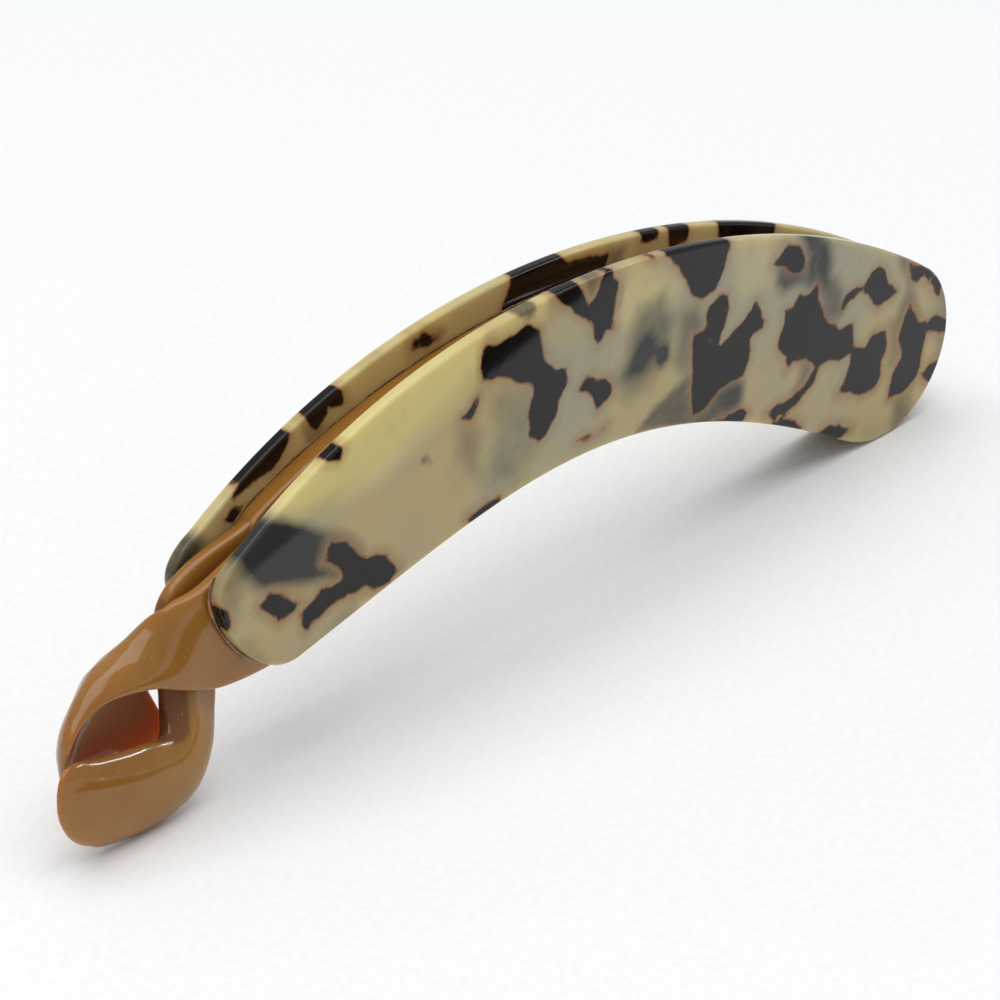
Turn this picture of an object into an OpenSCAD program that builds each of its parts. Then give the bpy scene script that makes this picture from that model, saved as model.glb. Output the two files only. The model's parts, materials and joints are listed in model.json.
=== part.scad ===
// Interlocking banana hair clip: two comb arms faced with curved plates,
// hinged at the +X end and closed by two twisted tails at the -X end.
// X runs along the clip, Z is up through the arch, Y is across the pair.

/* [Plates] */
// Distance from the middle plane to the inner face of a plate
plate_inner = 2.85; // [2.6:0.05:3.4]
// Thickness of a plate
plate_thick = 1.65; // [1.2:0.05:2.4]

/* [Arms] */
// Half of the gap between the two closed arms
arm_gap = 0.15; // [0.1:0.05:0.4]
// Thickness of the adhesive film between an arm and its plate
film_thick = 0.1; // [0.05:0.05:0.2]

/* [Comb] */
// Teeth on both arms together, near and far in turn
tooth_count = 26; // [16:1:28]
// Length of a tooth below its rail
tooth_length = 8.5; // [5:0.5:10]
// Width of a tooth along the rail
tooth_width = 1.9; // [1.2:0.1:2.2]
// How far a tooth reaches past the middle plane
tooth_reach = 1.1; // [0.4:0.1:1.4]

/* [Hinge] */
// Position of the pin along the clip
hinge_x = 73.1; // [72:0.1:74]
// Height of the middle of the pin
hinge_z = 9.8; // [9:0.1:11]
// Lean of the pin from upright, square to the arms
hinge_lean = 28; // [24:1:32]
// Outer radius of the hinge barrel
barrel_r = 2.3; // [2:0.05:2.5]
// Radius of the hinge pin
pin_r = 0.8; // [0.6:0.05:1]
// Radial running clearance of the near knuckle on the pin
pin_play = 0.05; // [0.02:0.01:0.1]
// Length of the middle knuckle
middle_knuckle = 4.6; // [3.6:0.1:5.4]
// Length of each outer knuckle
outer_knuckle = 3.2; // [2.4:0.1:3.6]
// Gap between neighbouring knuckles
knuckle_gap = 0.15; // [0.1:0.05:0.4]

/* [Smoothness] */
// Points along each curved stretch of an outline
curve_steps = 24; // [12:2:40]
// Rings along a clasp tail
tail_rings = 40; // [28:2:60]
// Points round a clasp tail
tail_sides = 24; // [16:4:36]

/* [Hidden] */
arm_outer = plate_inner - film_thick;
arm_thick = arm_outer - arm_gap;
rail_start = -50;
knuckle_clear = 0.45;
lug_reach = 5;
fine = 64;

// Outline of a plate in X and Z: cubic curves joined end to end, each one
// listed as its start and two handles, with the next start as its end.
plate_path = [
    [-54.7, 29.7], [-16.0, 53.9], [42.0, 44.8],
    [77.9, 22.4], [81.0, 20.4], [83.0, 16.8],
    [83.1, 12.9], [83.1, 5.6], [76.5, 0.0],
    [68.5, 0.0], [64.8, 0.0], [61.4, 1.6],
    [58.4, 3.2], [11.8, 28.5], [-8.4, 21.1],
    [-46.7, 13.1], [-52.7, 12.0], [-58.6, 20.5],
    [-59.0, 24.6], [-59.2, 27.2], [-56.6, 28.8]
];

// Rail along the top of an arm: its upper edge, its hinge end, and its lower
// edge, which flares down to the barrel and down to the tail.
rail_path = [
    [rail_start, 29.2], [-18.0, 45.2], [38.0, 45.4],
    [75.2, 19.8], [72.7, 15.1], [70.2, 10.3],
    [67.7, 5.6], [64.5, 11.0], [60.5, 17.5],
    [52.0, 22.5], [24.0, 38.5], [-8.0, 39.0],
    [-34.0, 27.5], [-41.0, 24.5], [-45.5, 13.0],
    [rail_start, 12.2], [rail_start, 18.4], [rail_start, 23.8]
];

// The stretch of the rail's lower edge that carries the teeth
comb_edge = [for (i = [9:12]) rail_path[i]];

// Clasp tails. Each station is the cross-section's edge, two handles, its
// other edge, then the half thickness at each edge; the tail runs smoothly
// through them.
near_stations = [
    [[-50, -1.45, 12.2], [-50, -1.45, 18.2], [-50, -1.45, 23.6], [-50, -1.45, 29.1], [1.3, 1.3]],
    [[-57, -1.5, 12.6], [-57.7, -1.5, 17.3], [-58.3, -1.5, 21.8], [-58.9, -1.4, 26], [1.3, 1.3]],
    [[-62.5, -1.7, 14.6], [-63.6, -1.8, 18], [-64, -1.3, 21.5], [-63.2, -0.2, 24.2], [1.25, 1.25]],
    [[-67.6, -1.9, 16.9], [-69, -1.8, 19.4], [-68.8, 1, 22.6], [-64.2, 2.8, 20], [1.1, 1.15]],
    [[-72.2, -2, 17.8], [-74, -1.7, 20], [-72.4, 4.5, 20.4], [-64, 4.1, 13.9], [1, 0.8]],
    [[-75.9, -2.1, 16.7], [-78.4, -1.6, 17.9], [-76.4, 6.48, 14.6], [-65, -1.8, 10.6], [0.9, 0.4]],
    [[-78.7, -2.6, 14.3], [-80.9, -2.1, 14.8], [-78.6, 5.6, 12], [-69.4, -3, 11.2], [0.8, 0.3]],
    [[-81, -3.4, 12.8], [-81.8, -2.7, 12.8], [-80, 0.5, 12.5], [-74.6, -3.1, 12.2], [0.35, 0.3]]
];
far_stations = [
    [[-50, 1.45, 29.1], [-50, 1.45, 23.8], [-50, 1.45, 18.4], [-50, 1.45, 12.2], [1.3, 1.3]],
    [[-58.2, 1.5, 27.2], [-57.2, 1.5, 22], [-55.4, 1.5, 17.2], [-53.2, 1.5, 12], [1.3, 1.3]],
    [[-62.4, 1.6, 23.9], [-60.8, 1.6, 19.5], [-58, 1.6, 15.6], [-54.9, 1.6, 11.2], [1.3, 1.3]],
    [[-62.9, 1.9, 17.6], [-61, 1.6, 14.8], [-58.8, 1, 12], [-56.2, 0.6, 9.2], [1.5, 1.4]],
    [[-63.3, 0.9, 12.4], [-61.8, -1.4, 10.9], [-60, -1.7, 8], [-59.2, -1.1, 5], [1.7, 1.3]],
    [[-65, -1.3, 9.7], [-64.2, -3.3, 7.2], [-63.6, -3.4, 3.8], [-62.9, -1.9, 2], [1.3, 1.25]],
    [[-70, -2.2, 10.3], [-70.4, -4.4, 8], [-69.4, -4.4, 2.45], [-68.6, -1.9, 0.45], [0.9, 1.15]],
    [[-75.6, -2.4, 11.3], [-76, -4.4, 10], [-76.2, -4.2, 3.25], [-75.4, -1.8, 0.95], [0.8, 1.1]],
    [[-79.4, -2.6, 11.7], [-80.4, -4, 11.1], [-80.8, -3.8, 6.8], [-79.8, -1.9, 4], [0.7, 1]],
    [[-82.2, -2.7, 10.8], [-82.8, -3.2, 10.4], [-83.1, -3, 8.8], [-82.7, -2.1, 7.6], [0.4, 0.5]]
];

// Point at fraction t of the cubic curve with ends and handles p
function cubic(p, t) =
    pow(1 - t, 3) * p[0] + 3 * pow(1 - t, 2) * t * p[1] + 3 * (1 - t) * t * t * p[2] + t * t * t * p[3];

// Direction of that curve
function cubic_slope(p, t) =
    pow(1 - t, 2) * (p[1] - p[0]) + 2 * (1 - t) * t * (p[2] - p[1]) + t * t * (p[3] - p[2]);

// Points of a closed path made of cubic curves
function outline(path, steps) =
    let (n = len(path))
    [for (i = [0:3:n - 1], k = [0:steps - 1])
        cubic([path[i], path[i + 1], path[i + 2], path[(i + 3) % n]], k / steps)];

// Smooth value at fraction u of a list of stations
function station(list, u) =
    let (
        last = len(list) - 1,
        i = min(floor(u * last), last - 1),
        t = u * last - i,
        a = list[max(i - 1, 0)],
        b = list[i],
        c = list[i + 1],
        d = list[min(i + 2, last)]
    )
    0.5 * (2 * b + t * (c - a) + t * t * (2 * a - 5 * b + 4 * c - d) + t * t * t * (3 * b - a - 3 * c + d));

function unit(v) = v / norm(v);

// Point on the middle surface of a tail, u along it and s across it
function tail_skin(list, u, s) = cubic(station(list, u), s);

// Unit normal of that middle surface
function tail_normal(list, u, s) =
    let (
        e = 0.01,
        s1 = min(max(s, 2 * e), 1 - 2 * e),
        u1 = min(max(u, e), 1 - e),
        along = tail_skin(list, u1 + e, s1) - tail_skin(list, u1 - e, s1),
        across = tail_skin(list, u1, s1 + e) - tail_skin(list, u1, s1 - e)
    )
    unit(cross(along, across));

// One ring of points round a tail
function tail_ring(list, u) =
    let (half = station(list, u)[4])
    [for (k = [0:tail_sides - 1])
        let (
            angle = 360 * k / tail_sides,
            s = (1 - sign(cos(angle)) * pow(abs(cos(angle)), 0.6)) / 2,
            side = sign(sin(angle)) * sqrt(abs(sin(angle))),
            out = side * (half[0] + (half[1] - half[0]) * s)
        )
        tail_skin(list, u, s) + out * tail_normal(list, u, s)];

// A curved slab: a closed X-Z path standing between two values of Y
module slab(path, y_low, y_high) {
    translate([0, y_high, 0])
        rotate([90, 0, 0])
            linear_extrude(height = y_high - y_low)
                polygon(outline(path, curve_steps));
}

// The same slab on the near side (-1) or the far side (+1)
module side_slab(path, side, inner, outer) {
    slab(path, side > 0 ? inner : -outer, side > 0 ? outer : -inner);
}

module at_hinge() {
    translate([hinge_x, 0, hinge_z])
        rotate([0, hinge_lean, 0])
            children();
}

// One knuckle of the barrel with the lug that ties it to its rail
module knuckle(side, low, long) {
    translate([0, 0, low])
        cylinder(r = barrel_r, h = long, $fn = fine);
    translate([-lug_reach, side > 0 ? arm_gap : -arm_outer, low])
        cube([lug_reach, arm_thick, long]);
}

// Bore for the pin right through the barrel
module pin_bore(radius) {
    cylinder(r = radius, h = 40, center = true, $fn = fine);
}

module rail_body(side) {
    difference() {
        side_slab(rail_path, side, arm_gap, arm_outer);
        at_hinge() cylinder(r = barrel_r + knuckle_clear, h = 40, center = true, $fn = fine);
    }
}

// One tooth: it springs from its rail and leans over the middle plane
module tooth(side) {
    root = 0.4;
    rotate([90, 0, 90])
        linear_extrude(height = tooth_width, center = true)
            polygon([
                [side * (arm_outer - 0.3), root],
                [side * (arm_outer - 0.35), -tooth_length * 0.45],
                [side * 0.7, -tooth_length],
                [-side * 0.4, -tooth_length],
                [-side * tooth_reach, -tooth_length * 0.75],
                [-side * tooth_reach, -tooth_length * 0.35],
                [side * (arm_gap + 0.1), -1.2],
                [side * (arm_gap + 0.1), root]
            ]);
}

// Every second tooth, each one cut where it meets the rail
module teeth(side, first) {
    difference() {
        for (i = [first:2:tooth_count - 1]) {
            t = 0.03 + 0.94 * i / (tooth_count - 1);
            spot = cubic(comb_edge, t);
            slope = cubic_slope(comb_edge, t);
            translate([spot[0], 0, spot[1]])
                rotate([0, -atan2(-slope[1], -slope[0]), 0])
                    tooth(side);
        }
        side_slab(rail_path, side, arm_gap, arm_outer);
    }
}

module tail(list) {
    rings = [for (r = [0:tail_rings]) each tail_ring(list, r / tail_rings)];
    n = tail_sides;
    walls = [for (r = [0:tail_rings - 1], k = [0:n - 1])
        let (a = r * n + k, b = r * n + (k + 1) % n)
        each [[a, b, b + n], [a, b + n, a + n]]];
    start_cap = [[for (k = [n - 1:-1:0]) k]];
    end_cap = [[for (k = [0:n - 1]) tail_rings * n + k]];
    polyhedron(points = rings, faces = concat(walls, start_cap, end_cap), convexity = 6);
}

module near_plate() {
    color([0.86, 0.78, 0.58]) side_slab(plate_path, -1, plate_inner, plate_inner + plate_thick);
}

module far_plate() {
    color([0.84, 0.75, 0.55]) side_slab(plate_path, 1, plate_inner, plate_inner + plate_thick);
}

module near_adhesive() {
    color([0.93, 0.9, 0.8]) side_slab(rail_path, -1, arm_outer, plate_inner);
}

module far_adhesive() {
    color([0.93, 0.9, 0.8]) side_slab(rail_path, 1, arm_outer, plate_inner);
}

module near_rail() {
    color([0.7, 0.45, 0.2])
        difference() {
            union() {
                rail_body(-1);
                at_hinge() knuckle(-1, -middle_knuckle / 2, middle_knuckle);
            }
            at_hinge() pin_bore(pin_r + pin_play);
        }
}

module far_rail() {
    step = middle_knuckle / 2 + knuckle_gap;
    color([0.66, 0.42, 0.19])
        difference() {
            union() {
                rail_body(1);
                at_hinge() knuckle(1, step, outer_knuckle);
                at_hinge() knuckle(1, -step - outer_knuckle, outer_knuckle);
            }
            at_hinge() pin_bore(pin_r);
        }
}

module near_teeth() {
    color([0.72, 0.47, 0.22]) teeth(-1, 0);
}

module far_teeth() {
    color([0.66, 0.42, 0.2]) teeth(1, 1);
}

module near_tail() {
    color([0.72, 0.48, 0.2]) tail(near_stations);
}

module far_tail() {
    color([0.62, 0.4, 0.18]) tail(far_stations);
}

module hinge_pin() {
    half_barrel = middle_knuckle / 2 + knuckle_gap + outer_knuckle;
    color([0.75, 0.75, 0.77])
        at_hinge() cylinder(r = pin_r, h = 2 * half_barrel, center = true, $fn = fine);
}

near_plate();
far_plate();
near_adhesive();
far_adhesive();
near_rail();
far_rail();
near_teeth();
far_teeth();
near_tail();
far_tail();
hinge_pin();
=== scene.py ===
import json
import math

import bmesh
import bpy
import numpy as np
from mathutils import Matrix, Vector
from mathutils.geometry import delaunay_2d_cdt


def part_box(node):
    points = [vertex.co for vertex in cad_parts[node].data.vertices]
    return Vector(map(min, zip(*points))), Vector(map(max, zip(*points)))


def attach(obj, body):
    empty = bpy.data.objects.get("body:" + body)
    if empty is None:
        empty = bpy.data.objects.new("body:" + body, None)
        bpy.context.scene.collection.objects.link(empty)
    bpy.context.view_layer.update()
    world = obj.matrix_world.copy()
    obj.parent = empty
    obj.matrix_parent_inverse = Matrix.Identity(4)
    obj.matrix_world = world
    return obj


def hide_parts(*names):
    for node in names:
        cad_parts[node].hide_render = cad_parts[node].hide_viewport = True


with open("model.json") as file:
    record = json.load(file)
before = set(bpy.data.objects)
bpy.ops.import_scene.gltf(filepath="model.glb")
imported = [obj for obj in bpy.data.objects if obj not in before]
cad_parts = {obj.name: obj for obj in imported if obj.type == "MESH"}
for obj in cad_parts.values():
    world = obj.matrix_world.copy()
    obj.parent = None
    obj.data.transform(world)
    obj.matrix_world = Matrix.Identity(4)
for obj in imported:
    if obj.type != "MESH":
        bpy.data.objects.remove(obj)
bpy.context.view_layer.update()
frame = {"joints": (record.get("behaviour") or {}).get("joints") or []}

# ---------------------------------------------------------------- sizes, mm
MM = 0.001
PLATE_INNER = 1000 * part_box("far_plate")[0][1]
PLATE_OUTER = 1000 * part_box("far_plate")[1][1]
ARM_OUTER = 1000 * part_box("far_adhesive")[0][1]
ARM_GAP = 0.15
RAIL_START = -50.0
# Lean of the hinge pin from upright, in degrees
PIN_LEAN = 28

# Edge rounding, which a CAD solid leaves out
PLATE_ROUND = 0.42
RAIL_ROUND = 0.45
FILM_ROUND = 0.05
# Spacing of the points round an outline, and of those that fill its faces:
# the plates' faces are finer, since their vertices carry the blotches
EDGE_SPACING = 0.5
FILM_SPACING = 0.6
PLATE_GRID = 0.75
ARM_GRID = 2.5
# How far a rail bites into its film and the film into its rail
GLUE_BITE = 0.02

# The plate and rail outlines, in X and Z: cubic curves joined end to end,
# each listed as its start and two handles, as in the CAD model.
PLATE_PATH = [
    (-54.7, 29.7), (-16.0, 53.9), (42.0, 44.8),
    (77.9, 22.4), (81.0, 20.4), (83.0, 16.8),
    (83.1, 12.9), (83.1, 5.6), (76.5, 0.0),
    (68.5, 0.0), (64.8, 0.0), (61.4, 1.6),
    (58.4, 3.2), (11.8, 28.5), (-8.4, 21.1),
    (-46.7, 13.1), (-52.7, 12.0), (-58.6, 20.5),
    (-59.0, 24.6), (-59.2, 27.2), (-56.6, 28.8),
]
RAIL_PATH = [
    (RAIL_START, 29.2), (-18.0, 45.2), (38.0, 45.4),
    (75.2, 19.8), (72.7, 15.1), (70.2, 10.3),
    (67.7, 5.6), (64.5, 11.0), (60.5, 17.5),
    (52.0, 22.5), (24.0, 38.5), (-8.0, 39.0),
    (-34.0, 27.5), (-41.0, 24.5), (-45.5, 13.0),
    (RAIL_START, 12.2), (RAIL_START, 18.4), (RAIL_START, 23.8),
]
# The stretch of the rail's lower edge that carries the teeth
COMB_EDGE = RAIL_PATH[9:13]

# Clasp tails: each row is a cross-section's edge, two handles, other edge,
# and its half thickness at the two edges. The rows near the rail are the CAD
# model's. The ones towards the tip follow the photo more closely than it does,
# by up to 3 mm: the near bowl's lower edge passes behind the far disc's lip.
NEAR_TAIL = [
    ((-46.5, -1.45, 13.2), (-46.5, -1.45, 19), (-46.5, -1.45, 25), (-46.5, -1.45, 30.3), (1.25, 1.25)),
    ((-50, -1.45, 12.2), (-50, -1.45, 18.2), (-50, -1.45, 23.6), (-50, -1.45, 29.1), (1.3, 1.3)),
    ((-57, -1.5, 12.6), (-57.7, -1.5, 17.3), (-58.3, -1.5, 21.8), (-58.9, -1.4, 26), (1.3, 1.3)),
    ((-62.5, -1.7, 14.6), (-63.6, -1.8, 18), (-64, -1.3, 22), (-63.2, -0.2, 24.8), (1.25, 1.25)),
    ((-67.6, -1.9, 16.9), (-69, -1.8, 19.4), (-68.8, 1, 22.6), (-64.2, 2.8, 20), (1.1, 1.15)),
    ((-73.9, -2, 18.1), (-75.4, -1.7, 20.2), (-73.4, 4.5, 20.6), (-63.1, 4.2, 13.9), (1, 0.8)),
    ((-77.5, -2.1, 17.0), (-79.4, -1.5, 18.0), (-76.8, 6.3, 13.6), (-61.9, 2.4, 8.0), (0.8, 0.4)),
    ((-79.9, -2.5, 15.1), (-81, -1.9, 15.3), (-78.2, 5.2, 10.6), (-67.6, 1.3, 7.0), (0.6, 0.35)),
    ((-79.8, -1.3, 12), (-80.2, -1.0, 11.6), (-79, 2.2, 9.4), (-74.6, 0.4, 8.6), (0.4, 0.35)),
]
FAR_TAIL = [
    ((-46.5, 1.45, 30.3), (-46.5, 1.45, 25), (-46.5, 1.45, 19), (-46.5, 1.45, 13.2), (1.25, 1.25)),
    ((-50, 1.45, 29.1), (-50, 1.45, 23.8), (-50, 1.45, 18.4), (-50, 1.45, 12.2), (1.3, 1.3)),
    ((-58.2, 1.5, 27.2), (-57.2, 1.5, 22), (-55.4, 1.5, 17.2), (-53.2, 1.5, 12), (1.3, 1.3)),
    ((-62.4, 1.6, 23.9), (-60.8, 1.6, 19.5), (-58, 1.6, 15.6), (-54.9, 1.6, 11.2), (1.3, 1.3)),
    ((-62.9, 1.9, 17.6), (-61, 1.6, 14.8), (-58.8, 1, 12), (-56.2, 0.6, 9.2), (1.5, 1.4)),
    ((-63.8, 0.9, 12.6), (-62, -1.4, 10.9), (-60, -1.7, 8), (-59, -1.1, 5), (1.6, 1.3)),
    ((-65.8, -1.3, 10), (-64.4, -3.3, 7.2), (-63.4, -3.4, 3.8), (-62.6, -1.9, 2), (1.2, 1.25)),
    ((-70.2, -2.1, 10.8), (-70.5, -4.4, 8.2), (-69.4, -4.4, 2.45), (-68.5, -1.9, 0.45), (0.8, 1.15)),
    ((-75.7, -2.3, 11.9), (-76, -4.4, 10.2), (-76.2, -4.2, 3.25), (-75.4, -1.8, 0.95), (0.7, 1.1)),
    ((-78, -2.4, 12.5), (-78.5, -4.2, 11), (-78.9, -4, 4.6), (-78, -1.9, 2.0), (0.65, 1.05)),
]

# ------------------------------------------------ tortoiseshell blotches, mm
# Sharp dark blotches at the surface of the near plate, corner by corner
NEAR_INK = [
    [(-59.6, 25.3), (-58.2, 23.6), (-57.2, 22), (-57.9, 21.2), (-58.9, 21.6), (-59.8, 23)],
    [(-52.8, 22.2), (-51.2, 23.2), (-49.3, 22.2), (-47.9, 20.8), (-46.3, 20.4), (-47.6, 19.3),
     (-49.8, 19.1), (-51.2, 20.6)],
    [(-41.5, 26), (-39, 25.2), (-37.5, 23.8), (-35.5, 21.4), (-32.5, 20.7), (-30, 18.1), (-31.6, 16.7),
     (-34.3, 17), (-35.4, 18), (-37.2, 17.7), (-40.2, 18.1), (-43.4, 17.4), (-44.8, 17.5),
     (-45.6, 16.1), (-46.5, 18.8), (-44, 19.3), (-43.2, 20.6), (-41, 20.2), (-39.2, 20.4), (-39.8, 22.2),
     (-42.4, 24)],
    [(-42.9, 37.1), (-41.8, 38), (-39.9, 38.3), (-39.4, 37.4), (-39, 36.6), (-39.6, 35.7), (-41.2, 36.2)],
    [(-18.6, 33.5), (-17.4, 33.8), (-16.7, 34.6), (-15.8, 35.3), (-16.2, 34.3), (-17.2, 33.1)],
    [(-18, 19.9), (-15.5, 20.5), (-12, 20.5), (-12, 19.3), (-17, 19)],
    [(-15.2, 39), (-15, 41), (-14, 41.5), (-13, 40.8), (-9.3, 41), (-7.1, 41.6), (-5, 40.3), (-4.1, 37.5),
     (-3.2, 35.2), (-1.6, 34), (0, 33.7), (0.5, 31.6), (-0.8, 30.2), (-2, 27.6), (-3.6, 26), (-4.9, 25.6),
     (-6.4, 26.6), (-6.7, 28.6), (-6.9, 30.2), (-5.6, 32.4), (-6, 33.6), (-9.2, 35.2), (-12, 37.1),
     (-13.6, 36.9), (-14.8, 37.4)],
    [(-1.9, 43.8), (-1.2, 45), (1.8, 44.8), (2.8, 43), (3.7, 41), (4.6, 39.4), (4.2, 38.8), (2, 40.4),
     (-0.3, 42.2)],
    [(4.5, 40.4), (6, 41.4), (6.4, 43), (7.3, 43.8), (8.6, 44.3), (8.6, 43), (10, 41.6), (9.2, 39.6),
     (8.8, 37), (9.1, 35.8), (8, 36), (6.3, 34.8), (5.4, 36), (4.9, 37.8), (4.2, 38.9)],
    [(2.4, 29.8), (4, 31), (5.5, 30.6), (6, 29.8), (7.8, 29.6), (8.9, 28.2), (8.6, 27), (6.9, 26.4),
     (6.2, 25.9), (5.4, 27.8), (4, 29.2)],
    [(2.4, 22.8), (4.4, 23.1), (5.9, 22.7), (4.3, 22.4)],
    [(6.5, 22.6), (7.8, 23.1), (7.4, 22.6)],
    [(14.2, 44.7), (16.2, 44), (17, 42.7), (15.6, 43.5)],
    [(19, 44.6), (19.2, 42.5), (21, 41.3), (22.5, 39), (24, 37), (25, 35.3), (26.5, 34.4), (29.2, 34.4),
     (30.3, 35.8), (31.4, 37.6), (32.1, 40), (31.6, 42.4)],
    [(27.8, 31.5), (28.4, 32.8), (30, 33.6), (31.8, 33.2), (32.4, 31.5), (31.6, 29.8), (31, 28),
     (30.4, 26.2), (28.6, 27.5), (28, 30)],
    [(25.3, 29.6), (27.6, 29.6), (28.6, 28), (30.6, 26.3), (33.5, 27.2), (35.5, 28.2), (37, 29),
     (38, 30.2), (38.6, 29.3), (40, 26.3), (37.3, 25.7), (36.9, 22.5), (35.6, 20.8), (31, 20.2),
     (28, 18.6), (25.6, 18.4), (25.2, 22)],
    [(30, 15.6), (33, 15.8), (35.6, 15.8), (36.9, 14.7), (35.4, 13.6), (32, 14)],
    [(41.5, 34.4), (42.8, 35), (44.2, 36.4), (45.6, 35.6), (47.3, 34.8), (48.4, 33), (48.2, 31.2),
     (46, 31.6), (44.4, 33.2)],
    [(43.2, 22), (44.4, 24.6), (44.5, 27), (46.2, 26.8), (47.6, 28), (49, 27.2), (51.6, 28.2), (52.3, 25),
     (53.6, 22.6), (57, 20.2), (59.8, 19.8), (60.3, 16), (57, 15.6), (54.4, 16.4), (52.5, 16.2),
     (49.5, 18.4), (47, 18.8), (45.3, 18.1), (45, 20.4)],
    [(57.4, 10.4), (59.8, 9.9), (62.4, 8.7), (65.6, 8.5), (67.4, 10), (67.2, 12), (68.4, 13.6), (68, 16),
     (66.4, 16.7), (64.6, 16.4), (63.2, 15.2), (61.5, 15.9), (60.1, 16.3), (60, 14.3), (58.8, 12.2)],
    [(41.4, 13), (43.8, 13.7), (46.8, 13.6), (49.5, 14.3), (52.6, 16.4), (51.4, 14.2), (48, 12.6),
     (45.4, 11.7), (43, 12)],
    [(42.6, 11.6), (45.5, 10.8), (47.5, 9.5), (49.4, 8.2), (46, 8.6), (42.6, 10.4)],
    [(61.8, 24.2), (63.8, 25.8), (65.5, 26.4), (67, 25.6), (67.8, 23.6), (69.8, 21.4), (67.8, 21.2),
     (66, 20.7), (64.4, 21.8), (62.8, 23.4)],
    [(56.8, 22.6), (58.2, 24.7), (60.4, 25.1), (62.4, 24.6), (60.2, 24.1), (58.4, 23.4)],
    [(71, 14.2), (72.5, 17), (73.6, 18.9), (74.4, 17), (75.6, 15), (77.8, 14.3), (78, 12.5), (77, 10.5),
     (77, 8), (75.5, 6.4), (72.5, 5.4), (69.5, 5.8), (70.2, 9), (72.2, 11.4), (71.6, 13)],
    [(77.6, 13.8), (79.4, 14.9), (81.5, 13.8), (83.6, 12.8), (83.6, 10.8), (81, 12), (78.2, 13)],
    [(77.4, 6.5), (79, 7.4), (81.6, 7.4), (80.4, 5.6), (79.6, 4.8), (78.4, 5.6)],
    [(72.6, 24.8), (76, 23.4), (81.5, 19.5), (80.6, 17.8), (79.6, 18.1), (78.6, 19.8), (76.4, 21.6),
     (74.6, 21.6), (73.4, 22.6)],
    [(53, 6), (55.5, 6.3), (58.5, 5), (60.8, 4), (58.5, 3.5), (55.6, 4)],
]
# Brighter, yellower patches of the near plate: corners, softness of the edge
# and strength
NEAR_WARM = [
    ([(-52.2, 33.6), (-46.2, 37.4), (-36.2, 41.4), (-23, 43.8), (-14.5, 43.6), (-13.5, 39), (-21.5, 35.5),
      (-33, 31), (-46.4, 30.6)], 5, 0.95),
    ([(13.6, 42.6), (22.8, 38), (20, 34), (15, 34), (10.4, 36), (10, 40)], 4, 0.5),
    ([(32.4, 41), (41, 40), (41, 32), (34.6, 31.6)], 4, 0.35),
    ([(-13, 43.6), (-3, 45), (-4, 41), (-12, 40)], 2, 0.6),
]
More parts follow.
